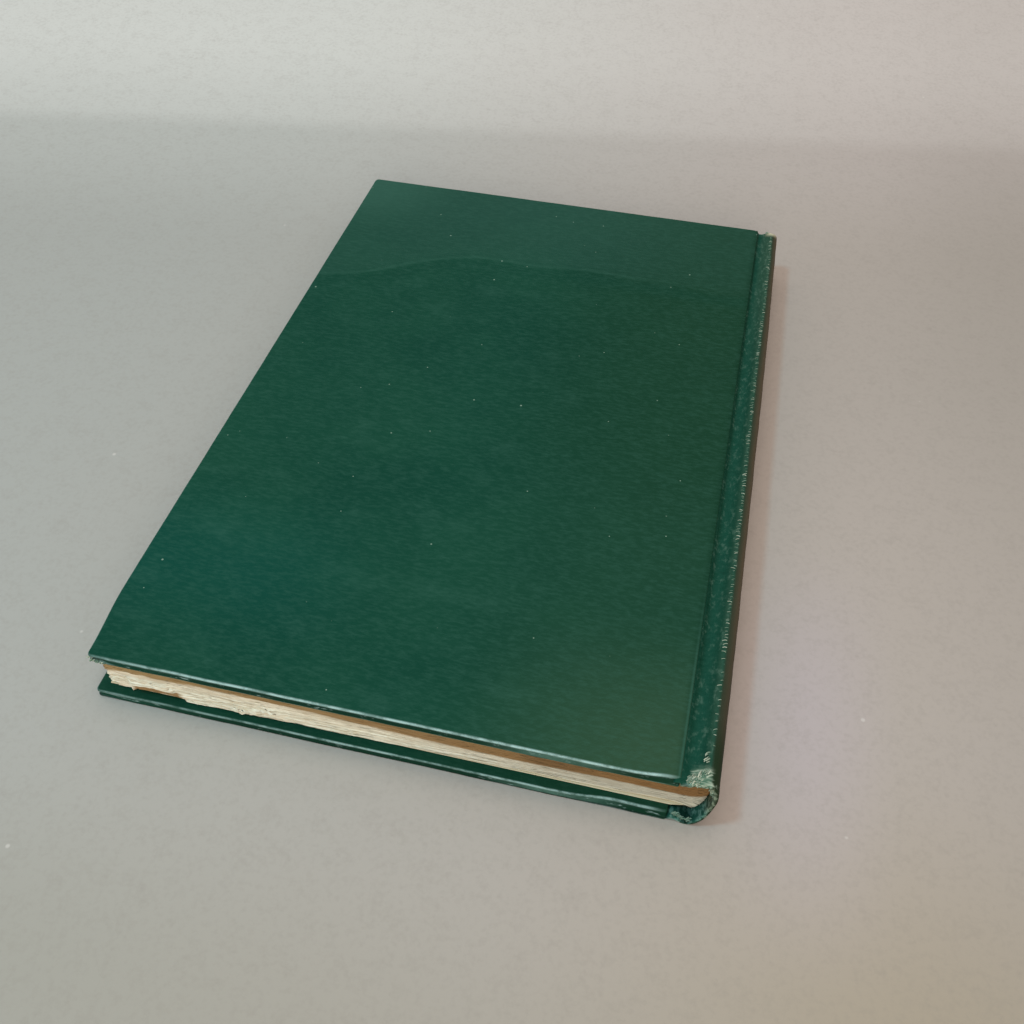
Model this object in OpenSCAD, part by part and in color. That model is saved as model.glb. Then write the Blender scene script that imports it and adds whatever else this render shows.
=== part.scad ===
/* [Covers] */
// Height of each cover, head to tail
cover_h = 240; // [180:1:300]
// Width of each cover, fore edge to joint
cover_w = 153.6; // [110:0.2:200]
// Thickness of the bare board
board_t = 2.3; // [1.6:0.1:3.5]
// Thickness of the covering cloth
cloth_t = 0.3; // [0.2:0.02:0.5]
// Width of cloth turned in over the board's inner edges
turn_in = 16; // [8:1:24]
// Radius of the rounded rim of a covered board
rim_r = 0.8; // [0.5:0.1:1]
// Plan radius of a sound corner
corner_r = 1.6; // [1.2:0.1:3]
// Plan radius of the two knocked corners, fore edge at the tail
knocked_r = 2.2; // [1.6:0.1:6]
// Sideways slip of the front cover towards the fore edge, the book being cocked
cock = 1.2; // [0:0.1:2]
// Gap left at each mitre of the turned-in cloth
mitre_gap = 0.2; // [0.1:0.05:0.4]

/* [Endpapers] */
// Thickness of a pastedown
pastedown_t = 0.15; // [0.1:0.05:0.3]
// Margin of cloth that shows round a pastedown
pastedown_margin = 3; // [2:0.5:6]

/* [Spine] */
// Width of the groove between the rear board and the spine's ridge
joint_w = 6.4; // [5.5:0.1:9]
// Depth of the groove below the outside of the board
groove_depth = 1.4; // [0.8:0.1:2.8]
// How far the spine leans towards the fore edge at its front side
spine_lean = 3.4; // [1:0.1:4]
// How far the spine swells out between its two ridges
spine_bulge = 3.8; // [2:0.1:5]
// Squareness of the spine's swell, 2 being an ellipse
spine_power = 2.5; // [2:0.1:3]
// Thickness of the card strip inside the spine
strip_t = 0.4; // [0.3:0.05:0.7]
// Hollow between the case's spine and the lined backs of the gatherings
hollow_gap = 0.2; // [0.15:0.05:0.6]
// Thickness of the paper glued over the mull
lining_t = 0.1; // [0.1:0.05:0.3]
// Thickness of the gauze mull
mull_t = 0.15; // [0.15:0.05:0.4]

/* [Text block] */
// Thickness of the leaves, away from the spine
block_t = 13.2; // [9:0.2:24]
// Number of gatherings of leaves
gatherings = 16; // [10:2:24]
// Overhang of the covers past the leaves at head and tail
square = 2; // [1.5:0.1:5]
// How much further the leaves stand back at the tail of the spine than at the tail of the fore edge
tail_skew = 0.9; // [0:0.1:1.5]
// Overhang of the covers past the leaves at the fore edge
fore_square = 2; // [1.5:0.1:6]
// Depth of the hollow in the fore edge
fore_hollow = 1.5; // [0:0.1:2.5]
// Length over which the leaves bend into the backed shoulders
backing_l = 7; // [5:0.5:12]
// Reach of the shoulders as a share of the spine's half height
shoulder_reach = 0.93; // [0.8:0.01:0.94]
// Most that a deckled gathering stands out past its neighbours
deckle = 1.1; // [0.1:0.1:1.6]
// Number of gatherings, from the front, with a torn corner at the tail
torn_gatherings = 4; // [1:1:8]
// Distance of the tear from the fore edge of the leaves
torn_start = 5; // [3:1:30]
// Length of the tear along the tail
torn_l = 17; // [8:1:40]
// Depth of the tear
torn_depth = 1.8; // [0.4:0.1:4]

/* [Fits] */
// Running gap between the covers and what they close on
run_gap = 0.3; // [0.2:0.05:0.5]

/* [Hidden] */
$fn = 48;

cloth_green = [0.08, 0.29, 0.23];
board_grey = [0.45, 0.4, 0.33];
leaf_cream = [0.84, 0.79, 0.66];
endpaper_cream = [0.88, 0.84, 0.74];
gauze_buff = [0.8, 0.75, 0.62];
kraft_brown = [0.6, 0.48, 0.33];

// Points along a rim arc, round a corner in plan, along the groove and along the swell
rim_steps = 3;
corner_steps = 7;
groove_steps = 10;
swell_steps = 28;
// Points where a leaf bends into its shoulder
bend_steps = 6;
// How sharply a leaf turns into its shoulder
bend_power = 2.4;
// Corners in a deckled edge at head or tail, and in one at the fore edge
end_steps = 12;
fore_steps = 16;
// Points along the ragged edge of a tear, and how blunt its ends are
tear_steps = 5;
tear_power = 0.6;
// Lift that makes a cut pass right through a face
cut = 1;
// Half a step of the slope at a point of the swell, in degrees
slope_step = 0.5;
// Slack that keeps the ridge just under the outside of the boards
ridge_drop = 0.1;

cover_t = board_t + 2 * cloth_t;
stack_gap = pastedown_t + run_gap;
book_t = 2 * (cover_t + stack_gap) + block_t;
block_z = cover_t + stack_gap;
front_w_end = cover_w - cock;

ridge_rear = [cover_w + joint_w, book_t - ridge_drop];
ridge_front = [ridge_rear[0] - spine_lean, ridge_drop];
swell_mid_z = (ridge_rear[1] + ridge_front[1]) / 2;
swell_half_z = (ridge_rear[1] - ridge_front[1]) / 2;

function sign_pow(v, e) = sign(v) * pow(abs(v), e);
function smooth(u) = u * u * (3 - 2 * u);
function unit(v) = v / norm(v);

// Repeatable scatter between 0 and 1, by gathering and edge
function scatter(i, edge) =
  let (s = sin(i * 131.7 + edge * 57.3 + 17) * 437.5) s - floor(s);

// Deckle of gathering i at corner k of an edge, the whole gathering standing out by half of it
function ragged(i, edge, k) =
  deckle * (scatter(i, edge) + scatter(i + k * gatherings, edge + 1)) / 2;

// Outside of the spine at angle a: 90 at the rear ridge, -90 at the front one
function swell(a) =
  let (
    v = sign_pow(sin(a), 2 / spine_power),
    lean_x = ridge_rear[0] - spine_lean * (1 - v) / 2
  )
  [lean_x + spine_bulge * pow(max(cos(a), 0), 2 / spine_power), swell_mid_z + swell_half_z * v];

// Angle of the swell at height v, from -1 at the front ridge to 1 at the rear one
function swell_angle(v) = asin(sign_pow(v, spine_power / 2));

// Outward normal of the swell at angle a
function swell_normal(a) =
  let (d = swell(a + slope_step) - swell(a - slope_step)) unit([d[1], -d[0]]);

// A groove's section, from the board's edge at x0 up to a ridge, floor at z0
function groove(x0, z0, ridge) = [
  for (i = [0:groove_steps - 1])
    let (u = i / groove_steps)
    [x0 + (ridge[0] - x0) * u, z0 + (ridge[1] - z0) * smooth(u)]
];

function reversed(list) = [for (i = [len(list) - 1:-1:0]) list[i]];

rear_groove = groove(cover_w + run_gap, book_t - groove_depth, ridge_rear);
front_groove = groove(front_w_end + run_gap, groove_depth, ridge_front);
swell_line = [for (i = [0:swell_steps]) swell(90 - 180 * i / swell_steps)];

// Outside of the case from the rear groove, round the spine, to the front groove
case_line = concat(rear_groove, swell_line, reversed(front_groove));
case_last = len(case_line) - 1;

// Inward normal at point i of the case's line
function case_normal(i) =
  let (d = case_line[min(i + 1, case_last)] - case_line[max(i - 1, 0)]) unit([d[1], -d[0]]);

// Points i0 to i1 of the case's line, moved in by depth
function case_inset(depth, i0 = 0, i1 = case_last) =
  [for (i = [i0:i1]) case_line[i] + depth * case_normal(i)];

// First and last points of the case's line that the card strip backs
strip_first = groove_steps + 3;
strip_last = groove_steps + swell_steps - 3;

// Backs of the gatherings, front to rear, inside the linings and the hollow
back_depth = 2 * cloth_t + strip_t + hollow_gap + lining_t + mull_t;
back_angles = [
  for (j = [0:gatherings]) swell_angle(shoulder_reach * (2 * j / gatherings - 1))
];
function back_line(depth) = [for (a = back_angles) swell(a) - depth * swell_normal(a)];
backs = back_line(back_depth);

book_far_x = max([for (p = case_line) p[0]]);
mid_x = (book_far_x - cock) / 2;

// Flat height of the boundary under gathering j
function leaf_z(j) = block_z + block_t * j / gatherings;

// Boundary under gathering j, from the fore edge at x0 to its fold
function leaf_line(j, x0) =
  let (bend_x = backs[j][0] - backing_l)
  concat(
    [[x0, leaf_z(j)]],
    [
      for (i = [0:bend_steps])
        let (u = i / bend_steps)
        [
          bend_x + backing_l * u,
          leaf_z(j) + (backs[j][1] - leaf_z(j)) * pow(u, bend_power)
        ]
    ]
  );

// Plan or section of a rectangle whose corner radii go round from low x, low y
function round_rect(w, h, radii, steps) = [
  for (k = [0:3])
    let (
      r = radii[k],
      cx = (k == 0 || k == 3) ? r : w - r,
      cy = k < 2 ? r : h - r
    )
    for (i = [0:steps])
      let (a = 180 + 90 * k + 90 * i / steps)
      [cx + r * cos(a), cy + r * sin(a)]
];

// Runs a section in X and Z along Y, from y0 to y1
module run_y(points, y0, y1) {
  translate([0, y1, 0])
    rotate([90, 0, 0])
      linear_extrude(y1 - y0)
        polygon(points);
}

// A board's solid with round rims, inset all round, lying on z 0 with its fore edge at x 0
module board_solid(inset) {
  w = cover_w - 2 * inset;
  h = cover_h - 2 * inset;
  t = cover_t - 2 * inset;
  rim = rim_r - inset;
  rims = [rim, rim, rim, rim];
  corners = [knocked_r - inset, corner_r - inset, corner_r - inset, corner_r - inset];
  translate([inset, -h / 2, inset])
    intersection() {
      linear_extrude(t)
        polygon(round_rect(w, h, corners, corner_steps));
      translate([0, h, 0])
        rotate([90, 0, 0])
          linear_extrude(h)
            polygon(round_rect(w, t, rims, rim_steps));
      rotate([90, 0, 90])
        linear_extrude(w)
          polygon(round_rect(h, t, rims, rim_steps));
    }
}

// Opening in the turned-in cloth, in the cover's own place
module cloth_window(z0, z1, inset = 0) {
  x0 = turn_in + inset;
  x1 = cover_w + cut;
  y1 = cover_h / 2 - turn_in - inset;
  translate([x0, -y1, z0])
    cube([x1 - x0, 2 * y1, z1 - z0]);
}

// Diagonal slit where two turned-in edges meet at a fore-edge corner
module mitre(side) {
  reach = 2 * turn_in;
  translate([0, side * cover_h / 2, cover_t - cloth_t])
    rotate([0, 0, -side * 45])
      translate([knocked_r, -mitre_gap / 2, 0])
        cube([reach, mitre_gap, cloth_t + cut]);
}

// Cloth round one board, outer face down: one sheet with turned-in edges
module cover_cloth() {
  difference() {
    board_solid(0);
    board_solid(cloth_t);
    cloth_window(cover_t - cloth_t, cover_t + cut);
    for (side = [-1, 1])
      mitre(side);
  }
}

// Paper pasted over the board and the turned-in cloth, dipping into the window
module pastedown() {
  edge = pastedown_margin;
  half_h = cover_h / 2 - edge;
  difference() {
    union() {
      translate([edge, -half_h, cover_t])
        cube([cover_w - edge, 2 * half_h, pastedown_t]);
      intersection() {
        cloth_window(cover_t - cloth_t, cover_t + cloth_t);
        translate([0, -half_h, cover_t - cloth_t])
          cube([cover_w, 2 * half_h, cloth_t]);
      }
    }
    translate([0, 0, pastedown_t])
      cloth_window(cover_t - cloth_t, cover_t + cut, pastedown_t);
  }
}

// Puts a piece made outer face down in the front cover's place
module at_front() {
  translate([-mid_x - cock, 0, 0])
    children();
}

// Puts a piece made outer face down in the rear cover's place, outer face up
module at_rear() {
  translate([-mid_x, 0, book_t])
    mirror([0, 0, 1])
      children();
}

// Puts a piece made with its rear fore edge at x 0 in the book's place
module at_book() {
  translate([-mid_x, 0, 0])
    children();
}

module front_board() {
  color(board_grey)
    at_front()
      board_solid(cloth_t);
}

module rear_board() {
  color(board_grey)
    at_rear()
      board_solid(cloth_t);
}

module front_cover_cloth() {
  color(cloth_green)
    at_front()
      cover_cloth();
}

module rear_cover_cloth() {
  color(cloth_green)
    at_rear()
      cover_cloth();
}

module front_pastedown() {
  color(endpaper_cream)
    at_front()
      pastedown();
}

module rear_pastedown() {
  color(endpaper_cream)
    at_rear()
      pastedown();
}

// Line at a depth under the spine, drawn in from the strip's edges by half a step more than less
function turned_line(depth, less) =
  let (
    points = case_inset(depth, strip_first + less, strip_last - less),
    last = len(points) - 1
  )
  concat(
    [(points[0] + points[1]) / 2],
    [for (i = [1:last - 1]) points[i]],
    [(points[last - 1] + points[last]) / 2]
  );

// Section of turned-in cloth between two depths
function turned_layer(depth0, depth1, less) =
  concat(turned_line(depth0, less), reversed(turned_line(depth1, less)));

// Runs a section along Y at both ends of the book, between two distances from the middle
module run_ends(points, y0, y1) {
  run_y(points, y0, y1);
  run_y(points, -y1, -y0);
}

// Cloth from groove to groove round the spine, turned in over the strip at head and tail
module spine_cloth() {
  half_h = cover_h / 2;
  inner = cloth_t + strip_t;
  lap = cloth_t / 2;
  color(cloth_green)
    at_book() {
      run_y(concat(case_line, reversed(case_inset(cloth_t))), -half_h, half_h);
      run_ends(turned_layer(lap, inner + lap, 0), half_h - cloth_t, half_h);
      run_ends(turned_layer(inner, inner + cloth_t, 1), half_h - turn_in, half_h - lap);
    }
}

// Card that stiffens the spine of the case
module spine_strip() {
  half_h = cover_h / 2 - cloth_t;
  color(kraft_brown)
    at_book()
      run_y(
        concat(
          case_inset(cloth_t, strip_first, strip_last),
          reversed(case_inset(cloth_t + strip_t, strip_first, strip_last))
        ),
        -half_h,
        half_h
      );
}

// Sheet on the backs of the gatherings, from one depth to another under the outside of the spine
module back_sheet(depth, thickness, trim) {
  half_h = cover_h / 2 - square - trim;
  run_y(
    concat(back_line(depth - thickness), reversed(back_line(depth))),
    -half_h,
    half_h
  );
}

// Paper over the mull
module spine_lining() {
  color(kraft_brown)
    at_book()
      back_sheet(back_depth - mull_t, lining_t, turn_in / 4);
}

// Gauze glued over the folds of the gatherings
module mull() {
  color(gauze_buff)
    at_book()
      back_sheet(back_depth, mull_t, turn_in / 2);
}

// Outline of gathering j seen from above, deckled at tail, head and fore edge
function leaf_plan(j) =
  let (
    u = (2 * j + 1) / gatherings - 1,
    x0 = fore_square + fore_hollow * (1 - u * u),
    y0 = cover_h / 2 - square,
    tail_x = x0 + ragged(j, 5, 0),
    head_x = x0 + ragged(j, 5, fore_steps)
  )
  concat(
    [
      for (k = [0:end_steps])
        let (along = pow(k / end_steps, 2))
        [tail_x + (book_far_x - tail_x) * along, -y0 + ragged(j, 1, k) + tail_skew * along]
    ],
    [
      for (k = [end_steps:-1:0])
        [head_x + (book_far_x - head_x) * k / end_steps, y0 - ragged(j, 3, k)]
    ],
    [
      for (k = [fore_steps - 1:-1:1])
        [x0 + ragged(j, 5, k), y0 * (2 * k / fore_steps - 1)]
    ]
  );

// Outline of what is torn from the tail of gathering j, from the covers' edge inwards
function torn_plan(j) = concat(
  [[torn_l, 0], [0, 0]],
  [
    for (k = [0:tear_steps])
      let (u = k / tear_steps)
      [torn_l * u, square + torn_depth * pow(sin(180 * u), tear_power) + ragged(j, 7, k)]
  ]
);

// One gathering: leaves between two boundaries, cut to its own deckled outline
module gathering(j) {
  half_h = cover_h / 2;
  intersection() {
    run_y(concat(leaf_line(j, 0), reversed(leaf_line(j + 1, 0))), -half_h, half_h);
    linear_extrude(book_t)
      difference() {
        polygon(leaf_plan(j));
        if (j < torn_gatherings)
          translate([fore_square + torn_start, -half_h])
            polygon(torn_plan(j));
      }
  }
}

// All the leaves, rounded and backed, in one solid
module text_block() {
  color(leaf_cream)
    at_book()
      union() {
        for (j = [0:gatherings - 1])
          gathering(j);
      }
}

rear_board();
rear_cover_cloth();
rear_pastedown();
front_board();
front_cover_cloth();
front_pastedown();
spine_cloth();
spine_strip();
spine_lining();
mull();
text_block();
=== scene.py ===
"""Looks of the cloth-bound hardback: cloth, leaves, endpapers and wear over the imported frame."""
import math

import bmesh
import bpy
import numpy as np
from mathutils import Matrix, Vector, noise


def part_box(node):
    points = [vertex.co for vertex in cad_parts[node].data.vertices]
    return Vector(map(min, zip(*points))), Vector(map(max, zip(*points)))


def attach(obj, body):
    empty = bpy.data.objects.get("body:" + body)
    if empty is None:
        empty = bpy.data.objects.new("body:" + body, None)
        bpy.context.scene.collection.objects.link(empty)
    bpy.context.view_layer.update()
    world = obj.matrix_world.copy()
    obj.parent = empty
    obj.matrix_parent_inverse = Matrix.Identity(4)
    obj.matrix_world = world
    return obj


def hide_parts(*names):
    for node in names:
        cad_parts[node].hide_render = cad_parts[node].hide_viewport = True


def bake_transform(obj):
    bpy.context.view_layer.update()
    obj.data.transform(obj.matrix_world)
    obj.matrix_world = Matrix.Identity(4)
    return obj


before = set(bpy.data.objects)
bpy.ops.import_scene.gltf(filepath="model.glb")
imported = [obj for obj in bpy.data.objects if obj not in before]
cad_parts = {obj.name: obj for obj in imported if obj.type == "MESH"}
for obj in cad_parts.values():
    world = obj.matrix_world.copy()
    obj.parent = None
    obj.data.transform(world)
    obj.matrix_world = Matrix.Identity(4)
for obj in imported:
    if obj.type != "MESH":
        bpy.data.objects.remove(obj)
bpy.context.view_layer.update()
scene = bpy.context.scene
MM = 0.001

# Sizes of the book in mm, as the part has them
COVER_H, COVER_W, COVER_T = 240.0, 153.6, 2.9
BOOK_T = 19.9
CLOTH_T, STRIP_T, PAPER_T = 0.3, 0.4, 0.15
RIM_R, CORNER_R, KNOCKED_R = 0.45, 1.6, 1.2
TURN_IN, MARGIN = 16.0, 3.0
JOINT_W, GROOVE, LEAN, BULGE, POWER = 6.4, 1.4, 3.4, 3.8, 2.5
BLOCK_Z, BLOCK_T, GATHERINGS = 3.35, 13.2, 16
SQUARE, FORE_SQUARE, FORE_HOLLOW, BACKING = 2.0, 2.0, 1.5, 7.0
LINING_T, MULL_T = 0.1, 0.15
SHOULDER, BACK_DEPTH, BEND_POWER, COCK = 0.93, 1.45, 2.4, 1.2
SHIFT_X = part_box("rear_cover_cloth")[0].x / MM
HALF_H = COVER_H / 2
RIDGE_REAR = (COVER_W + JOINT_W, BOOK_T - 0.1)
RIDGE_FRONT = (RIDGE_REAR[0] - LEAN, 0.1)
# How far in the back and the rear ridge have settled, at heights from tail to head
SETTLED_AT = (-120.0, -93.0, -67.0, -38.0, -12.0, 10.0, 34.0, 67.0, 92.0, 105.0, 118.0)
SETTLED_BACK = (-0.48, -0.48, -0.43, -0.15, 0.0, 0.06, 0.23, 0.56, 1.02, 1.22, 1.42)
SETTLED_RIDGE = (0.0, 0.0, 0.05, 0.05, 0.2, 0.55, 0.8, 0.75, 0.85, 1.0, 1.3)
# Cloth turned over the ends of the spine, alone and with the card in it
TURNED_T, CAPPED_T = 0.7, 1.25
# Gatherings from the front that are torn at the tail, and the stretch in from the fore edge
TORN, TEAR_START, TEAR_END = 4, 9.0, 24.2


def show(name, data):
    """An object in the scene with a mesh, lamp or camera in it."""
    obj = bpy.data.objects.new(name, data)
    scene.collection.objects.link(obj)
    return obj


# Camera

def stand_camera():
    """The camera where the photograph was taken from."""
    data = bpy.data.cameras.new("camera")
    data.lens = 37.27
    data.sensor_width = 36.0
    data.clip_start, data.clip_end = 0.01, 20.0
    camera = show("camera", data)
    right = Vector((0.97324239, 0.22949552, 0.01144772))
    down = Vector((0.17627839, -0.7137467, -0.67785808))
    forward = Vector((-0.14739463, 0.66173821, -0.73510364))
    turn = Matrix((right, -down, -forward)).transposed().to_4x4()
    camera.matrix_world = Matrix.Translation(((SHIFT_X + 140.6) * MM, -0.24808, 0.24467)) @ turn
    scene.camera = camera


# Finishes

def srgb(r, g, b):
    """A colour as a screen shows it, 0 to 255, turned into what a shader takes."""
    def lin(v):
        v /= 255.0
        return v / 12.92 if v <= 0.04045 else ((v + 0.055) / 1.055) ** 2.4
    return lin(r), lin(g), lin(b), 1.0


def new_node(tree, kind, settings, inputs):
    """A node of a kind, with its settings made before its sockets are filled."""
    node = tree.nodes.new(kind)
    for key, value in (settings or {}).items():
        setattr(node, key, value)
    for key, value in (inputs or {}).items():
        fill(tree, node.inputs[key], value)
    return node


def fill(tree, socket, value):
    """Links another socket to this one, or gives it a value of its own."""
    value = getattr(value, "socket", value)
    if isinstance(value, bpy.types.NodeSocket):
        tree.links.new(value, socket)
    else:
        socket.default_value = value


class Val:
    """A shader value that adds its Math nodes as it is used in sums."""

    def __init__(self, finish, socket):
        self.finish, self.socket = finish, socket

    def __add__(self, other):
        return self.finish.maths("ADD", self, other)

    def __sub__(self, other):
        return self.finish.maths("SUBTRACT", self, other)

    def __rsub__(self, other):
        return self.finish.maths("SUBTRACT", other, self)

    def __mul__(self, other):
        return self.finish.maths("MULTIPLY", self, other)

    def __pow__(self, other):
        return self.finish.maths("POWER", self, other)

    def __abs__(self):
        return self.finish.maths("ABSOLUTE", self)

    __radd__, __rmul__ = __add__, __mul__

    def rise(self, low, high):
        """0 below low, 1 above high, smooth between; falls where low is above high."""
        if low > high:
            return 1 - self.rise(high, low)
        limits = {"Value": self, "From Min": low, "From Max": high}
        node = self.finish.add("MapRange", {"interpolation_type": "SMOOTHSTEP"}, limits)
        return Val(self.finish, node.outputs["Result"])

    def near(self, place, reach):
        """1 at a place, falling smoothly to 0 at reach from it."""
        return abs(self - place).rise(reach, 0.0)


class Finish:
    """One material: a shader face fed by sums over the piece's own rest position in mm."""

    def __init__(self, name, rest=True):
        self.material = bpy.data.materials.new(name)
        self.material.use_nodes = True
        self.tree = self.material.node_tree
        self.tree.nodes.clear()
        out = self.add("OutputMaterial")
        self.face = self.add("BsdfPrincipled")
        self.tree.links.new(self.face.outputs["BSDF"], out.inputs["Surface"])
        if rest:
            self.place = self.add("Attribute", {"attribute_name": "rest"}).outputs["Vector"]
        else:
            where = self.add("TexCoord").outputs["Object"]
            self.place = self.vector("MULTIPLY", where, (1 / MM,) * 3)
        split = self.add("SeparateXYZ", inputs={"Vector": self.place})
        self.x, self.y, self.z = (Val(self, split.outputs[k]) for k in "XYZ")
        self.tint = None

    def add(self, kind, settings=None, inputs=None):
        return new_node(self.tree, "ShaderNode" + kind, settings, inputs)

    def maths(self, operation, *values):
        node = self.add("Math", {"operation": operation}, dict(enumerate(values)))
        return Val(self, node.outputs[0])

    def vector(self, operation, a, b):
        return self.add("VectorMath", {"operation": operation}, {0: a, 1: b}).outputs[0]

    def mark(self, name):
        """A number kept on the piece's points."""
        return Val(self, self.add("Attribute", {"attribute_name": name}).outputs["Fac"])

    def cloud(self, size, detail=2.0, rough=0.5, stretch=(1, 1, 1), seed=0.0):
        """Noise between 0 and 1 with features of about a size in mm, stretched along an axis."""
        at = self.vector("MULTIPLY", self.place, tuple(1 / (size * s) for s in stretch))
        at = self.vector("ADD", at, (seed * 7.31, seed * 3.17, seed * 5.71))
        look = {"Vector": at, "Scale": 1.0, "Detail": detail, "Roughness": rough}
        return Val(self, self.add("TexNoise", inputs=look).outputs[0])

    def flecks(self, size, share, seed=0.0):
        """Small round spots in a share of the cells of a size in mm."""
        at = self.vector("MULTIPLY", self.place, (1 / size,) * 3)
        at = self.vector("ADD", at, (seed * 5.3, seed * 2.9, 0.0))
        cell = self.add("TexVoronoi", inputs={"Vector": at, "Scale": 1.0, "Randomness": 1.0})
        pick = self.add("SeparateColor", inputs={"Color": cell.outputs["Color"]})
        chosen = Val(self, pick.outputs[0]).rise(1 - share, 1 - share * 0.8)
        return Val(self, cell.outputs["Distance"]).rise(0.22, 0.1) * chosen

    def blend(self, factor, a, b):
        """Colour a turning to colour b by a factor, each a socket or as a screen shows it."""
        a, b = (srgb(*c) if isinstance(c, tuple) else c for c in (a, b))
        return self.add("Mix", {"data_type": "RGBA"}, {0: factor, 6: a, 7: b}).outputs[2]

    def coat(self, factor, colour):
        """Lays a colour over the tint that the finish has so far, by a factor."""
        self.tint = self.blend(factor, self.tint, colour)

    def bump(self, height, depth_mm, strength):
        look = {"Height": height, "Strength": strength, "Distance": depth_mm * MM}
        self.tree.links.new(self.add("Bump", inputs=look).outputs["Normal"], self.face.inputs["Normal"])

    def dress(self, roughness, shine=0.5):
        """The material, with its tint, its roughness and how strongly it mirrors."""
        looks = {"Base Color": self.tint, "Roughness": roughness, "Specular IOR Level": shine}
        for key, value in looks.items():
            fill(self.tree, self.face.inputs[key], value)
        return self.material


def weave(f):
    """Height of a plain weave, threads along X and Y, each a little uneven."""
    uneven = f.cloud(6, 2, seed=4)
    across = f.maths("SINE", f.y * (2 * math.pi / 0.42) + uneven * 5)
    along = f.maths("SINE", f.x * (2 * math.pi / 0.5) + uneven * 4)
    slub = f.cloud(0.5, 3, 0.6, (9, 1, 1), seed=2)
    return across * 0.5 + along * 0.22 + slub * 1.1


GREEN = (19, 69, 53)
GREEN_DEEP = (12, 63, 49)
# Faded green, also laid on as a painted sheen
GREEN_FADED_AND_SHEEN = (42, 82, 70)
GREEN_OLIVE = (32, 66, 46)
# Rubbed green, also laid on as a painted sheen and highlight
GREEN_RUBBED_AND_SHEEN = (60, 104, 90)
JOINT_TEAL = (15, 66, 54)
# Painted shade for the groove of the joint
GROOVE_SHADE = (6, 44, 28)
# Pale rubbed cloth, also the painted highlight along the rims
WORN_AND_HIGHLIGHT = (180, 213, 211)
THREAD = (178, 206, 186)
SPINE_DARK = (50, 56, 42)
SPINE_BROWN = (92, 79, 63)
FACE_DARK = (9, 44, 30)
CLOTH_SHINE = 0.05


def cover_cloth_finish(name, faded):
    """Green book cloth on a cover: tide mark, fading with a painted sheen, scuffs, rubbed rims with a
    painted highlight, pale flecks, and painted shade by the joint and under the leaves.
    """
    f = Finish(name)
    broad = f.cloud(52, 3, 0.55, seed=1)
    patch = f.cloud(9, 4, 0.6, (1.6, 1, 1), seed=3)
    fine = f.cloud(0.9, 3, 0.7, (3, 1, 1), seed=5)
    f.tint = f.blend(broad.rise(0.35, 0.68), GREEN, GREEN_DEEP)
    f.coat(patch.rise(0.5, 0.8) * 0.16, GREEN_RUBBED_AND_SHEEN)
    f.coat(f.x.rise(-10, 74) * 0.6, GREEN_OLIVE)
    f.coat(f.x.rise(-15, 45) * f.y.rise(-55, 0) * 0.34, (8, 50, 30))
    f.coat(f.x.rise(-5, -50) * f.y.near(-84, 38) * 0.2, (12, 90, 82))
    if faded:
        line = 77 - f.x.rise(-20, -88) * 26 + (broad - 0.5) * 6 + (patch - 0.5) * 2.5
        above = f.y - line
        # Paler far back above the tide mark: fading with a painted sheen
        far = above.rise(-1.6, 3.4) * (0.5 + f.y.rise(60, 120) * 0.4)
        f.coat(far * (0.66 - f.x.rise(0, 70) * 0.34), GREEN_FADED_AND_SHEEN)
        # Paler at the far left: dust with a painted sheen
        f.coat(f.x.rise(-40, -80) * f.y.rise(80, 120) * 0.4, GREEN_RUBBED_AND_SHEEN)
        left = f.x.rise(70, 20)
        f.coat(above.near(0.2, 1.6) * left * 0.2, GREEN_RUBBED_AND_SHEEN)
        f.coat(above.near(-4.5, 6) * 0.3, GREEN_DEEP)
        # Paler and greyer towards the near right: a painted sheen
        near_sheen = f.y.rise(-70, -118) * f.x.rise(10, 70)
        f.coat(near_sheen * 0.4, (66, 90, 66))
        # Painted shade along the board's edge where it drops into the joint groove
        sunk = f.x.rise(70.6, 72.9)
        f.coat(sunk * 0.45, GROOVE_SHADE)
        # Pale line on the board's edge by the joint near the tail: wear with a painted highlight
        f.coat(f.x.near(72.4, 0.6) * f.y.rise(-50, -100) * 0.4, GREEN_RUBBED_AND_SHEEN)
    f.coat((fine - 0.5) * 0.8 + 0.06, GREEN_RUBBED_AND_SHEEN)
    specks = f.flecks(1.9, 0.008, 1) + f.flecks(1.2, 0.004, 2)
    f.coat(specks * 0.45, THREAD)
    # Rims: pale wear with a painted highlight along them
    rim = f.mark("rim")
    worn = f.cloud(5, 4, 0.7, (1, 1, 0.4), seed=8).rise(0.36, 0.6)
    f.coat(rim * (0.35 + worn * 0.5 if faded else 0.25 + worn * 0.75), WORN_AND_HIGHLIGHT)
    face = f.mark("face")
    f.coat(face * (0.8 - f.x.rise(-40, -76) * 0.55), FACE_DARK)
    f.coat(f.mark("split") * (0.5 + worn * 0.3), WORN_AND_HIGHLIGHT)
    f.coat(face * f.x.near(43, 21) * (0.3 + worn * 0.2), (104, 146, 134))
    scuffed = face * f.cloud(1.4, 3, 0.7, (3, 1, 1), seed=9).rise(0.58, 0.76)
    f.coat(scuffed * 0.45, WORN_AND_HIGHLIGHT)
    if not faded:
        # Painted shade on the inside of the front cover, under the leaves' edge
        f.coat(f.z.rise(2.2, 2.7) * (1 - rim) * (1 - face) * 0.4, FACE_DARK)
        # Painted shadow along the foot of the board, where it meets the floor
        f.coat((face + rim) * f.z.rise(0.95, 0.5), (3, 12, 8))
    f.bump(weave(f), 0.05, 0.34)
    return f.dress(0.55 + patch * 0.14, CLOTH_SHINE)


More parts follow.
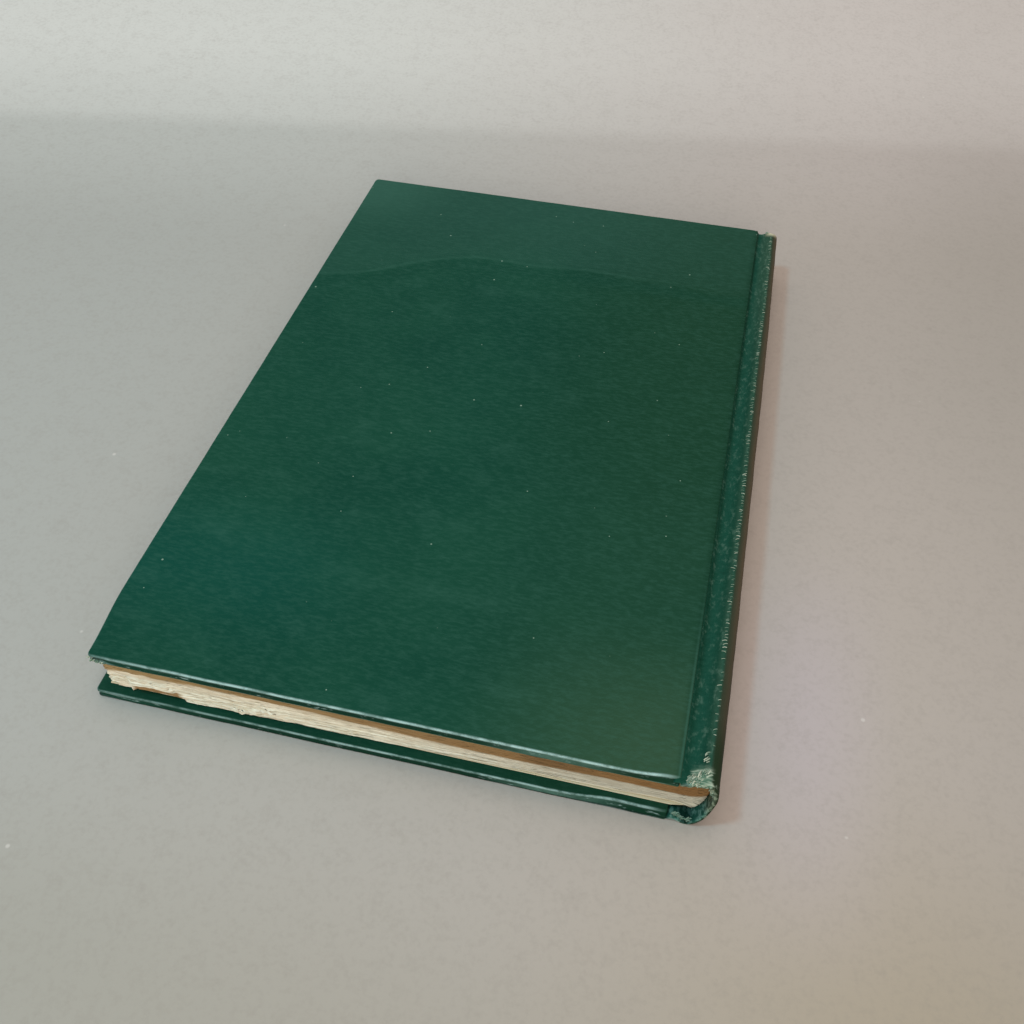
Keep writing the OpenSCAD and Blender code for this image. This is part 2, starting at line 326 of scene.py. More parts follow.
def spine_cloth_finish():
    """Green book cloth from the joint round the spine: painted shade in the groove, rubbed ridge, a browned
    back with painted shade, an inside lit and shaded by painted light, torn ends.
    """
    f = Finish("joint_and_spine_cloth")
    run = f.mark("run")
    patch = f.cloud(5, 4, 0.6, (1, 2, 1), seed=13)
    fine = f.cloud(0.8, 3, 0.7, (3, 1, 1), seed=15)
    f.tint = f.blend(patch * 0.7, GREEN, JOINT_TEAL)
    # Painted shade down the groove of the joint
    f.coat(f.mark("crease") * 0.7, GROOVE_SHADE)
    f.coat((fine - 0.5) * 0.4 + 0.05, GREEN_RUBBED_AND_SHEEN)
    ridge = run.near(-0.5, 1.4) * (1 - f.y.rise(40, 100) * 0.5)
    f.coat(ridge * (0.25 + patch * 0.4), (58, 88, 72))
    # Painted shade just short of the ridge, where the cloth curves up into the light
    f.coat(run.near(-1.4, 2.2) * 0.3, (14, 44, 28))
    head = f.y.rise(20, 110) * run.rise(-5.5, -3.5)
    f.coat(head * (0.25 + patch * 0.3), (62, 92, 74))
    dull = f.cloud(1.3, 4, 0.7, (1, 1.7, 1), seed=27)
    rough = 0.65 + head * 0.35
    f.coat(rough * dull.rise(0.5, 0.74) * 0.45, (108, 138, 122))
    f.coat(rough * dull.rise(0.47, 0.28) * 0.5, (18, 52, 40))
    # The back: brown toning with painted shade over it, as it faces away from the light, deepest towards
    # the tail
    back = run.rise(-0.1, 0.9)
    brown_share = (0.66 + patch * 0.4) * (1 - f.y.rise(-45, -105) * 0.55)
    toned_and_shaded = f.blend(run.rise(0.3, 2.8) * brown_share, SPINE_DARK, SPINE_BROWN)
    f.coat(back * (0.85 + patch * 0.15), toned_and_shaded)
    f.coat(back * f.y.rise(-98, -112) * 0.8, (26, 46, 28))
    bits = f.cloud(1.1, 3, 0.65, (1, 1.6, 1), seed=31)
    foot = f.y.rise(-112.5, -118.5) * run.rise(0.5, 2.5)
    f.coat(foot * bits.rise(0.56, 0.66) * 0.7, (128, 146, 128))
    strand = f.cloud(0.62, 2, 0.5, (5, 1, 5), seed=17)
    tail = f.y.rise(-113, -119)
    ragged = strand * 0.9 + f.cloud(2.2, 3, 0.6, seed=23) * 0.6
    torn = (run.near(-1.8, 5.4) * 1.3 + ragged - 1.25) * tail
    bared = f.blend(strand.rise(0.4, 0.62), (80, 114, 94), (160, 176, 156))
    f.coat(torn.rise(0, 0.3), bared)
    top = f.y.rise(116.5, 119.6) * run.near(0, 4)
    f.coat(top * patch.rise(0.3, 0.5), (204, 200, 170))
    # Ends of the sheet: pale wear with a painted highlight
    rim = f.mark("rim")
    f.coat(rim * patch.rise(0.3, 0.6) * 0.6, WORN_AND_HIGHLIGHT)
    # Inside of the cloth: painted light, a lit colour high up and a dim one low down, and painted shade
    # deep in the hollow back
    lit = f.blend(bits.rise(0.4, 0.62), (58, 74, 60), (128, 144, 124))
    dim = f.blend(bits.rise(0.44, 0.62), (30, 80, 68), (92, 134, 124))
    lining = f.blend(f.z.rise(6, 12), dim, lit)
    lining = f.blend(f.mark("hidden"), lining, (10, 40, 31))
    f.coat(f.mark("inside"), lining)
    f.bump(weave(f) + strand * torn.rise(0, 0.3) * 5, 0.07, 0.5)
    return f.dress(0.6 + patch * 0.12, CLOTH_SHINE)


def thread_finish():
    """Bared linen threads, some still green, some bleached."""
    f = Finish("frayed_thread", rest=False)
    f.tint = f.blend(f.mark("pick") ** 1.4, (82, 118, 98), (192, 200, 180))
    f.coat(f.z.rise(6, 4.5) * 0.65, (82, 126, 114))
    return f.dress(0.8, 0.1)


def leaves_finish():
    """Rough cream paper edges, orange-brown under the upper cover and at the folds, from toning and painted
    shadow.
    """
    f = Finish("leaf_edges")
    depth = f.mark("depth")
    along = f.mark("along")
    streak = f.cloud(0.42, 3, 0.65, (34, 34, 0.8), seed=2)
    mottle = f.cloud(3, 4, 0.6, seed=6)
    f.tint = f.blend(streak.rise(0.36, 0.66), (243, 241, 222), (209, 201, 177))
    f.coat(mottle.rise(0.48, 0.76) * 0.35, (190, 168, 126))
    f.coat(along.rise(0.45, 0.95) * 0.7, f.blend(streak, (186, 188, 173), (157, 157, 144)))
    f.coat(depth.rise(BLOCK_T - 0.9, BLOCK_T - 0.4) * 0.6, (226, 222, 200))
    # Band under the upper cover: orange-brown toning with the shadow of the cover's overhang painted into
    # it, deepest towards the spine
    band = 4.9 + along.rise(0.2, 0.8) * 3.7 + along.rise(0.9, 1) * 0.5
    toned_and_shaded = (depth - band + (mottle - 0.5) + (streak - 0.5) * 1.4).rise(0.45, -0.45)
    brown = f.blend(along, (166, 140, 92), (134, 97, 48))
    brown = f.blend(streak.rise(0.42, 0.66) * 0.3 + along.near(0.8, 0.1) * 0.4, brown, (98, 70, 34))
    f.coat(toned_and_shaded * 0.92, brown)
    # Painted shadow on the torn lowest leaves, under the leaves that jut out above them
    f.coat(f.mark("under_jut_shade") * (0.8 + streak * 0.3), (158, 128, 86))
    f.coat(f.mark("page"), (222, 212, 182))
    f.bump(streak + mottle * 0.6, 0.12, 0.5)
    return f.dress(0.9, 0.08)


def endpaper_finish():
    """Cream endpaper: faint fibres, brown offset round its edges."""
    f = Finish("endpaper_cream")
    mottle = f.cloud(14, 4, 0.55, seed=3)
    fibre = f.cloud(0.6, 3, 0.6, (4, 1, 1), seed=9)
    f.tint = f.blend(mottle.rise(0.25, 0.85), (222, 213, 186), (213, 203, 173))
    edge = abs(f.y).rise(104, 118)
    side = f.mark("side")
    f.coat((edge * 0.4 + side * 0.6) * 0.3, (196, 168, 120))
    f.coat(f.flecks(6, 0.08, 4) * 0.3, (150, 106, 60))
    f.bump(fibre, 0.03, 0.4)
    return f.dress(0.82, 0.15)


def plain_board_finish(name, light, dark, size):
    """Fibrous card or paper behind the spine."""
    f = Finish(name)
    fibre = f.cloud(size, 4, 0.65, (1, 3, 1), seed=1)
    f.bump(fibre, 0.06, 0.5)
    f.tint = f.blend(fibre.rise(0.35, 0.7), light, dark)
    return f.dress(0.85, 0.2)


def gauze_finish():
    """Open starched gauze, a thread to the millimetre."""
    f = Finish("mull_gauze")
    over = f.maths("SINE", f.y * (2 * math.pi)) * 0.5 + 0.5
    up = f.maths("SINE", f.z * (2 * math.pi)) * 0.5 + 0.5
    mesh = f.maths("MAXIMUM", over, up)
    f.bump(mesh, 0.12, 0.7)
    f.tint = f.blend(mesh.rise(0.5, 0.9), (150, 128, 88), (206, 190, 150))
    return f.dress(0.9)


# Shapes

def smooth(u):
    return u * u * (3 - 2 * u)


def clamp(v, low=0.0, high=1.0):
    return max(low, min(high, v))


def sign_pow(v, e):
    return math.copysign(abs(v) ** e, v)


def rough_at(x, y, z, size, seed=0.0):
    """Smooth scatter between -1 and 1 with features of a size."""
    return noise.noise(Vector((x / size + seed * 13.7, y / size - seed * 5.1, z / size + seed * 3.3)))


def rounding(radius, d):
    """How far a rounded rim has dropped at a distance d in from its edge."""
    return radius - math.sqrt(max(radius ** 2 - max(radius - d, 0.0) ** 2, 0.0))


def swell(degrees):
    """Outside of the spine: 90 at the rear ridge, -90 at the front one."""
    a = math.radians(degrees)
    v = sign_pow(math.sin(a), 2 / POWER)
    mid = (RIDGE_REAR[1] + RIDGE_FRONT[1]) / 2
    half = (RIDGE_REAR[1] - RIDGE_FRONT[1]) / 2
    lean = RIDGE_REAR[0] - LEAN * (1 - v) / 2
    return np.array((lean + BULGE * max(math.cos(a), 0.0) ** (2 / POWER), mid + half * v))


def fold_point(share):
    """Fold of a leaf on the backs of the gatherings, share 0 at the front and 1 at the rear."""
    v = SHOULDER * (2 * share - 1)
    a = math.degrees(math.asin(sign_pow(v, POWER / 2)))
    d = swell(a + 0.5) - swell(a - 0.5)
    normal = np.array((d[1], -d[0])) / np.linalg.norm(d)
    return swell(a) - BACK_DEPTH * normal


def leaf_point(share, x):
    """Height of the boundary between leaves at x, flat and then bent up or down to its fold."""
    flat = BLOCK_Z + BLOCK_T * share
    fold = fold_point(share)
    u = clamp((x - (fold[0] - BACKING)) / BACKING)
    return flat + (fold[1] - flat) * u ** BEND_POWER


def normals_2d(points):
    """Unit normals of a section, to the right of its direction."""
    d = np.gradient(np.array(points), axis=0)
    return np.column_stack((d[:, 1], -d[:, 0])) / np.linalg.norm(d, axis=1)[:, None]


def settled(points):
    """Points of the back moved as the spine has settled: further in at the head, fuller at the tail."""
    x, y, z = points[:, 0] - SHIFT_X, points[:, 1], points[:, 2]
    rear_z, front_z = RIDGE_REAR[1], RIDGE_FRONT[1]
    up = np.clip((2 * z - rear_z - front_z) / (rear_z - front_z), -1.0, 1.0)
    full = (1 - np.abs(up) ** POWER) ** (1 / POWER)
    ridge = (1 - full) * (up > 0) * np.interp(y, SETTLED_AT, SETTLED_RIDGE)
    reach = np.where(up > 0, 5.2, 4.5)
    out = np.clip((x - RIDGE_REAR[0] + LEAN * (1 - up) / 2) / reach + 1, 0.0, 1.0)
    moved = points.copy()
    moved[:, 0] -= (full * np.interp(y, SETTLED_AT, SETTLED_BACK) + ridge) * smooth(out)
    return moved


def piece(name, points, faces, material, marks=None, closed=True):
    """A mesh in metres from points in mm, keeping its rest position and its marks on the points."""
    mesh = bpy.data.meshes.new(name)
    points = np.array(points, float).reshape(-1, 3)
    mesh.from_pydata((settled(points) * MM).tolist(), [], faces)
    mesh.materials.append(material)
    rest = mesh.attributes.new("rest", "FLOAT_VECTOR", "POINT")
    rest.data.foreach_set("vector", points.astype(np.float32).ravel())
    for key, values in (marks or {}).items():
        mark = mesh.attributes.new(key, "FLOAT", "POINT")
        mark.data.foreach_set("value", np.array(values, np.float32).ravel())
    if closed:
        work = bmesh.new()
        work.from_mesh(mesh)
        bmesh.ops.recalc_face_normals(work, faces=work.faces)
        work.to_mesh(mesh)
        work.free()
    for polygon in mesh.polygons:
        polygon.use_smooth = True
    return show(name, mesh)


def grid_faces(rows, columns, start=0, flip=False):
    """Four-sided faces between the points of a grid."""
    at = np.arange(rows * columns).reshape(rows, columns) + start
    quads = np.stack((at[:-1, :-1], at[:-1, 1:], at[1:, 1:], at[1:, :-1]), axis=-1).reshape(-1, 4)
    return (quads[:, ::-1] if flip else quads).tolist()


def ring_faces(low, high):
    """Four-sided faces between two closed rings of points."""
    return np.stack((np.roll(low, -1), low, high, np.roll(high, -1)), axis=1).tolist()


def border(rows, columns):
    """Indices once round a grid."""
    at = np.arange(rows * columns).reshape(rows, columns)
    return np.concatenate((at[0], at[1:, -1], at[-1, -2::-1], at[-2:0:-1, 0]))


def blank_grids(line, heights, marks=0):
    """Outer and inner grids of points, and a grid for each mark, to be filled."""
    shape = (len(line), len(heights))
    return [np.zeros(shape + (3,)) for _ in range(2)] + [np.zeros(shape) for _ in range(marks)]


def thick_sheet(name, outer, inner, material, **marks):
    """A closed sheet between two grids of points with the same rows and columns."""
    rows, columns = outer.shape[:2]
    count = rows * columns
    ring = border(rows, columns)
    faces = grid_faces(rows, columns) + grid_faces(rows, columns, count, flip=True)
    faces += ring_faces(ring, ring + count)
    points = np.concatenate((outer.reshape(-1, 3), inner.reshape(-1, 3)))
    doubled = {k: np.tile(v.ravel(), 2) for k, v in marks.items()}
    doubled["inside"] = np.repeat((0.0, 1.0), count)
    return piece(name, points, faces, material, doubled)


def from_both_ends(near, length, count):
    """Places along a length, the near ones counted from each end and a count of even steps between."""
    middle = np.linspace(near[-1], length - near[-1], count)[1:-1]
    return [*near, *middle, *(length - v for v in reversed(near))]


def edge_steps(length, step=2.6):
    """Places across a board, close together over its rims and corners."""
    near = [RIM_R * (1 - math.cos(math.radians(a))) for a in range(0, 91, 15)]
    near += [0.62, 0.85, KNOCKED_R, CORNER_R, 2.2, 3.2, 4.6, 6.2, 8.4, 11.0, 13.4]
    near += [TURN_IN, TURN_IN + 0.8, TURN_IN + 3.0]
    return from_both_ends(near, length, int((length - 2 * near[-1]) / step) + 2)


def round_corner(u, v, w, h):
    """Moves a point of a plain rectangle's grid so that its corners come out round."""
    right, top = u > w / 2, v > h / 2
    r = CORNER_R if top else (KNOCKED_R / 2 if right else KNOCKED_R)
    a, b = r - (w - u if right else u), r - (h - v if top else v)
    if a <= 0 or b <= 0:
        return u, v
    reach = max(a, b)
    turn = math.radians(45 * b / a if a >= b else 90 - 45 * a / b)
    a, b = reach * math.cos(turn), reach * math.sin(turn)
    return (w - r + a if right else r - a), (h - r + b if top else r - b)


def cover_skin(name, rear, material):
    """Cloth round one board, as a closed skin with rounded rims, turned-in edges and knocks."""
    us = edge_steps(COVER_W)
    vs = edge_steps(COVER_H)
    rows, columns = len(us), len(vs)
    upper, under, rims = [], [], []
    for u in us:
        for v in vs:
            d = min(u, v, COVER_W - u, COVER_H - v)
            drop = rounding(RIM_R, d)
            pu, pv = round_corner(u, v, COVER_W, COVER_H)
            inside = min(u - TURN_IN, v - TURN_IN, COVER_H - TURN_IN - v)
            upper.append((pu, pv, drop))
            under.append((pu, pv, COVER_T - drop - CLOTH_T * smooth(clamp(inside / 0.8))))
            rims.append(rim_wear_and_highlight(u, v, rear))
    ring = border(rows, columns)
    walls = (0.1, 0.22, 0.36, 0.5, 0.64, 0.78, 0.9)
    upper, under = np.array(upper), np.array(under)
    wall = [upper[ring] + (under[ring] - upper[ring]) * share for share in walls]
    points = np.concatenate([upper, under] + wall)
    count, span = rows * columns, len(ring)
    levels = [2 * count + n * span + np.arange(span) for n in range(len(walls))]
    levels = [ring, *levels, ring + count]
    faces = grid_faces(rows, columns) + grid_faces(rows, columns, count, flip=True)
    for low, high in zip(levels, levels[1:]):
        faces += ring_faces(low, high)
    edge = np.array(rims)[ring]
    rim = [rims, np.array(rims) * (0.3 if rear else 0.9)]
    rim += [edge * clamp(0.5 - (w if rear else 1 - w) * 1.6) for w in walls]
    rim = np.concatenate(rim)
    side = np.concatenate((np.zeros(2 * count), np.ones(len(walls) * span)))
    split = np.zeros(len(points))
    split_reach = 9.0
    for k, p in enumerate(points):
        if side[k] and p[0] + p[1] < split_reach:
            lips = max(clamp(1 - abs(p[2] - 0.35) / 0.35), clamp(1 - abs(p[2] - 2.3) / 0.6) * 0.6)
            split[k] = lips * clamp((split_reach - p[0] - p[1]) / 4.0)
        knock_cover(p, rear)
    placed = points.copy()
    placed[:, 0] = SHIFT_X - (0.0 if rear else COCK) + points[:, 0]
    placed[:, 1] = points[:, 1] - HALF_H
    placed[:, 2] = BOOK_T - points[:, 2] if rear else points[:, 2]
    return piece(name, placed, faces, material, {"rim": rim, "face": side, "split": split})


def rim_wear_and_highlight(u, v, rear):
    """How far a place on a cover's rim is rubbed and lit: pale wear with a painted highlight, most along
    the tail and least at the fore edge.
    """
    def band(d, width):
        return clamp(1 - abs(d - 0.1) / width)
    if rear:
        tail = band(v, 0.44) * (0.55 + 0.45 * clamp((u - 8.0) / 24.0))
    else:
        tail = band(v, 0.34) * (0.5 + 0.35 * clamp((u - 15.0) / 55.0))
    fore = band(u, 0.3) * (0.25 + 0.5 * clamp(1 - v / 12.0))
    head = band(COVER_H - v, 0.3) * 0.25
    tail *= clamp((u + 1.0) / 3.0) * clamp((COVER_W - u) / 6.0)
    return max(tail, fore, head)


def knock_cover(p, rear):
    """Unevenness of a used cover: wavering rims, a split corner and a sunken joint end."""
    u, v, w = p
    seed = 1.0 if rear else 2.0
    waver = clamp(1 - min(u, v, COVER_H - v) / 6.0)
    p[1] += 0.1 * waver * rough_at(u, v, 0, 9.0, seed) * (1 if v < HALF_H else -1)
    p[0] += 0.06 * waver * rough_at(u, v, 5, 11.0, seed)
    p[2] += 0.03 * rough_at(u, v, 9, 34.0, seed) * clamp(min(u, v, COVER_H - v, COVER_W - u) / 5.0)
    reach = math.hypot(u, v)
    if reach < 7.0:
        near = smooth(1 - reach / 7.0)
        middle = clamp(1 - abs(w - COVER_T / 2 + 0.1) / 0.8)
        p[0] += (2.4 if rear else 0.9) * near * middle
        p[1] += (2.6 if rear else 0.9) * near * middle
    if rear:
        p[0] += 1.3 * smooth(clamp(1 - v / 24.0)) * clamp(1 - u / 14.0)
    start, sunk = (141.0, 1 - w / COVER_T) if rear else (128.0, w / COVER_T)
    p[1] += 1.1 * sunk * smooth(clamp((u - start) / 12.0)) * clamp(1 - v / 14.0)


def joint_line(share):
    """Outside of the rear joint at a share of the height: off the board, groove, up to the ridge."""
    start = np.array((COVER_W - 0.35, BOOK_T - 0.16))
    full = 0.45 + 0.55 * smooth(clamp(share * COVER_H / 7.0))
    floor = np.array((COVER_W + 2.0 - 1.3 * share, BOOK_T - GROOVE * full))
    line = [start + (-1.3, -0.5), start + (-0.6, -0.2)]
    span = floor - start
    for u in np.arange(6) / 6:
        slope = u * (1 - u) ** 2 * -0.68 * span[0]
        line.append(start + (span[0] * u, span[1] * smooth(u) + slope))
    span = RIDGE_REAR - floor
    line += [floor + (span[0] * u, span[1] * smooth(u)) for u in np.arange(10) / 10]
    return line


def height_steps(count):
    """Places up the spine, close together over the turned ends."""
    near = [0.0, 0.05, 0.16, 0.34, 0.6, 1.0, 1.5, 2.1, 2.8, 3.6, 4.6, 5.8, 7.2, 8.8, 10.8, 13.2]
    near += [TURN_IN, TURN_IN + 0.4]
    return from_both_ends(near, COVER_H, count)


def lengths(line, zero):
    """Distance along a line of points from one of them."""
    run = np.append(0.0, np.cumsum(np.linalg.norm(np.diff(line, axis=0), axis=1)))
    return run - run[zero]


def spine_sheet(material):
    """Cloth from the rear board's edge through the joint and round the spine to the front ridge."""
    bow = [swell(90 - 180 * i / 48) for i in range(49)]
    bow += [swell(-90) + (-0.5, 0.12), swell(-90) + (-1.1, 0.3)]
    vs = height_steps(130)
    ridge = len(joint_line(0.0))
    count = ridge + len(bow)
    outer, inner, runs, rims, creases = blank_grids(range(count), vs, 3)
    for j, v in enumerate(vs):
        line = joint_line(v / COVER_H) + bow
        run = lengths(line, ridge)
        d = min(v, COVER_H - v)
        for i, (p, n) in enumerate(zip(line, normals_2d(line))):
            capped = run[i] > 0.8 and i < count - 8
            thick = (CAPPED_T if capped else TURNED_T) if d <= TURN_IN else CLOTH_T
            thick += 0.8 * clamp(1 - v / 6.0) * clamp((1.5 - run[i]) / 1.5)
            if i < 4:
                thick = CLOTH_T
            sink = rounding(min(thick, TURNED_T) / 2, d)
            y = v
            if v < HALF_H:
                frayed = clamp(1 - abs(run[i] + 1.4) / 4.2)
                y += frayed * (0.8 + 0.9 * rough_at(run[i], 3, 1, 0.8)) * clamp(1 - v / 7.0)
            else:
                frayed = clamp(1 - abs(run[i] - 0.6) / 3.0)
                y -= frayed * (0.7 + 0.8 * rough_at(run[i], 8, 1, 0.8)) * clamp(1 - (COVER_H - v) / 5.0)
            lift = 0.1 * rough_at(p[0], v, p[1], 7.0, 5.0) + 0.05 * rough_at(p[0], v, p[1], 1.6, 6.0)
            lift *= clamp((run[i] + 7.0) / 3.0)
            a = p + n * (sink - lift)
            b = p + n * (thick - min(sink, thick * 0.4) - lift)
            outer[i, j] = (SHIFT_X + a[0], y - HALF_H, a[1])
            inner[i, j] = (SHIFT_X + b[0], y - HALF_H, b[1])
            runs[i, j] = run[i]
            rims[i, j] = clamp(1 - d / 0.5) * clamp((-2.0 - run[i]) / 2.0) * clamp((i - 4) / 3.0)
            # Painted shade down the groove, weaker over the first 40 mm from the tail
            creases[i, j] = clamp(1 - abs(i - 5.0) / 4.5) * (0.35 + 0.65 * smooth(clamp(v / 40.0)))
    # Painted shade on the inside, far round the back
    hidden = np.clip((runs - 19.0) / 4.0, 0.0, 1.0) * 0.8
    return thick_sheet("spine_and_joint_cloth", outer, inner, material,
                       run=runs, rim=rims, crease=creases, hidden=hidden)


def front_joint_sheet(material):
    """Cloth from the front board's edge through the front joint to its ridge."""
    x0 = COVER_W - COCK
    line = [swell(-72), swell(-78), swell(-84), swell(-90)]
    floor = np.array((x0 + 1.6, 0.55))
    for u in np.arange(1, 10) / 10:
        line.append(np.array(RIDGE_FRONT) * (1 - u) + floor * u)
        line[-1][1] = RIDGE_FRONT[1] + (floor[1] - RIDGE_FRONT[1]) * smooth(u)
    line += [floor] + [np.array((x0 + x, z)) for x, z in ((0.8, 0.45), (-0.1, 0.3), (-0.9, 0.3))]
    vs = height_steps(90)
    outer, inner, runs, rims, creases, hidden = blank_grids(line, vs, 4)
    for i, (p, n) in enumerate(zip(line, normals_2d(line))):
        for j, v in enumerate(vs):
            d = min(v, COVER_H - v)
            thick = TURNED_T if d <= TURN_IN else CLOTH_T
            away = p[0] - x0
            bunch = clamp(1 - v / 5.0) * clamp(1 - (away - 0.2) / 3.4) * (away > 0.2)
            thick += 1.7 * bunch
            sink = rounding(min(thick, 0.9) / 2, d)
            a, b = p + n * (sink - 0.05), p + n * (thick - min(sink, thick * 0.4))
            y = v - HALF_H + 0.25 * clamp((i - 4) / 9.0) * clamp(1 - v / 14.0)
            outer[i, j] = (SHIFT_X + a[0], y, max(a[1], 0.0))
            inner[i, j] = (SHIFT_X + b[0], y, b[1])
            runs[i, j] = -7.0 * i / len(line)
            rims[i, j] = clamp(1 - d / 0.5) * 0.6
            # Painted shade in the groove by the front board's edge
            creases[i, j] = clamp(1 - abs(i - len(line) + 2.5) / 2.5)
            # Painted shade on the inside, except where the cloth bunches at the tail
            hidden[i, j] = 1 - clamp(bunch * 3.0)
    return thick_sheet("front_joint_cloth", outer, inner, material,
                       run=runs, rim=rims, crease=creases, hidden=hidden)


def leaf_block(material):
    """All the leaves: layer on layer, each with its own torn edge at tail, head and fore edge."""
    layers, across, down = 72, 150, 84
    bend = 24
    points, faces, depths, alongs, under_jut_shades = [], [], [], [], []

    def spread(i, x_start, x_bend):
        """Place of step i from the fore edge to the fold, closer together at the fore edge."""
        if i > across - bend:
            return x_bend + BACKING * (i - across + bend) / bend
        return x_start + (x_bend - x_start) * (i / (across - bend)) ** 1.2

    def torn_by(run, layer, gather, side, size, seed):
        """Unevenness of a torn edge: of its gathering, of its leaf, and of the leaf's fibres."""
        coarse = rough_at(run, gather * 9.0, side, size, seed)
        leafy = rough_at(run, layer * 4.1, side, 5.0, seed + 1)
        return coarse, leafy, rough_at(run, layer * 4.1, side, 1.2, seed + 2)

    def end_inset(x, layer, gather, side):
        """How far a leaf's tail or head stands back from the even edge."""
        along = clamp(x / COVER_W)
        age = math.exp(-max(x - 4, 0.0) / 52.0)
        coarse, leafy, fine = torn_by(x, layer, gather, side, 12.0, 3.0)
        inset = 0.1 + coarse * (0.1 + 0.5 * age) + leafy * (0.06 + 0.45 * age) + fine * (0.03 + 0.22 * age)
        if side > 0:
            return inset + 0.5
        inset += 1.7 * along ** 1.6
        left = TEAR_END - 0.5 * gather - x + leafy * 0.6
        jut = smooth(clamp((x - TEAR_START) / 0.6)) * smooth(clamp(left / 0.5))
        if TORN <= gather < 9:
            inset -= 0.6 * jut
        if gather < TORN:
            inset += 0.55 * jut + 0.9 * clamp((TEAR_START - x) / 0.6) * clamp((3.4 - gather) / 2.0)
        if 1 <= gather <= 5:
            chip = clamp(1 - abs(x - 37.0 - 2.4 * gather + 3.0 * leafy) / 3.4)
            inset -= chip * clamp(0.5 + 2.5 * fine)
        return inset

    def outline(layer, share):
        """Points once round a layer at the height share of one of its boundaries."""
        mid = (layer + 0.5) / layers
        gather = int(mid * GATHERINGS)
        hollow = FORE_HOLLOW * (1 - (2 * mid - 1) ** 2)
        x_bend = fold_point(share)[0] - BACKING

        def end_y(x, side):
            return side * (HALF_H - SQUARE - end_inset(x, layer, gather, side))

        def fore(y):
            coarse, leafy, fine = torn_by(y, layer, gather, 7, 13.0, 6.0)
            worn = 3.4 * clamp(1 - mid * 4) * clamp(1 - (y + HALF_H) / 12.0)
            return FORE_SQUARE + hollow + worn + 0.4 * coarse + 0.4 * leafy + 0.15 * fine

        y_tail, y_head = end_y(FORE_SQUARE, -1), end_y(FORE_SQUARE, 1)
        x_tail, x_head = fore(y_tail), fore(y_head)
        ring = [(x, end_y(x, -1)) for x in (spread(i, x_tail, x_bend) for i in range(across + 1))]
        heights = [y_tail + (y_head - y_tail) * k / down for k in range(1, down)]
        ring += [(x_bend + BACKING, y) for y in heights]
        ring += [(x, end_y(x, 1)) for x in (spread(i, x_head, x_bend) for i in range(across, -1, -1))]
        ring += [(fore(y), y) for y in reversed(heights)]
        return [(x, y, leaf_point(share, x)) for x, y in ring]

    span = 2 * (across + 1) + 2 * (down - 1)
    for layer in range(layers):
        sag = 0.25 / layers * (layer % 3 - 1)
        for share in (layer / layers, (layer + 1) / layers + (sag if layer < layers - 1 else 0.0)):
            for x, y, z in outline(layer, share):
                points.append((SHIFT_X + x, y, z))
                depths.append(leaf_point(1.0, x) - z)
                alongs.append(clamp((x - FORE_SQUARE) / (COVER_W - FORE_SQUARE)))
                # Painted shadow on the lowest gatherings at the tail, where the leaves above jut out
                low = clamp((TORN + 0.3 - (layer + 0.5) / layers * GATHERINGS) / 0.3)
                torn = clamp((x - TEAR_START + 0.4) / 0.8) * clamp((TEAR_END - 0.2 - x) / 1.6)
                under_jut_shades.append(low * torn * (y < 0))
    ring = np.arange(span)
    for level in range(2 * layers - 1):
        faces += ring_faces(ring + (level + 1) * span, ring + level * span)
    pages = [0.0] * len(points)

    def cap(level, share):
        """The first or last page, as a grid between the tail and head edges."""
        start = level * span
        rows = [[start + i for i in range(across + 1)]]
        head = [start + across + down + (across - i) for i in range(across + 1)]
        for k in range(1, down):
            left = start + 2 * (across + 1) + (down - 1) + (down - 1 - k)
            right = start + across + k
            row = [left]
            for i in range(1, across):
                a, b = np.array(points[rows[0][i]]), np.array(points[head[i]])
                x, y = (a[0] + b[0]) / 2, a[1] + (b[1] - a[1]) * k / down
                away = clamp(min(k, down - k) / 4.0)
                sunk = 0.06 * away * rough_at(x, y, 3, 18.0, 9.0) * (-1 if share else 1)
                row.append(len(points))
                points.append((x, y, leaf_point(share, x - SHIFT_X) + sunk))
                depths.append(0.0 if share else BLOCK_T)
                alongs.append(clamp((x - SHIFT_X) / COVER_W))
                pages.append(1.0)
                under_jut_shades.append(0.0)
            rows.append(row + [right])
        rows.append(head)
        for a, b in zip(rows, rows[1:]):
            for i in range(across):
                faces.append((a[i], a[i + 1], b[i + 1], b[i]))

    cap(0, 0.0)
    cap(2 * layers - 1, 1.0)
    return piece("leaves", points, faces, material, {
        "depth": depths, "along": alongs, "page": pages, "under_jut_shade": under_jut_shades,
    })


def back_sheet(name, node, reach, depth, thick, half, material):
    """A sheet bent round the back, between two angles and at a depth under the outside of the spine."""
    line = [swell(reach - 2 * reach * i / 40) for i in range(41)]
    ys = np.linspace(-half, half, 61)
    outer, inner = blank_grids(line, ys)
    for i, (p, n) in enumerate(zip(line, normals_2d(line))):
        for grid, under in ((outer, depth), (inner, depth + thick)):
            a = p + n * under
            grid[i, :, 0], grid[i, :, 1], grid[i, :, 2] = SHIFT_X + a[0], ys, a[1]
    made = thick_sheet(name, outer, inner, material)
    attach(made, "book_block")
    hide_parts(node)
    return made


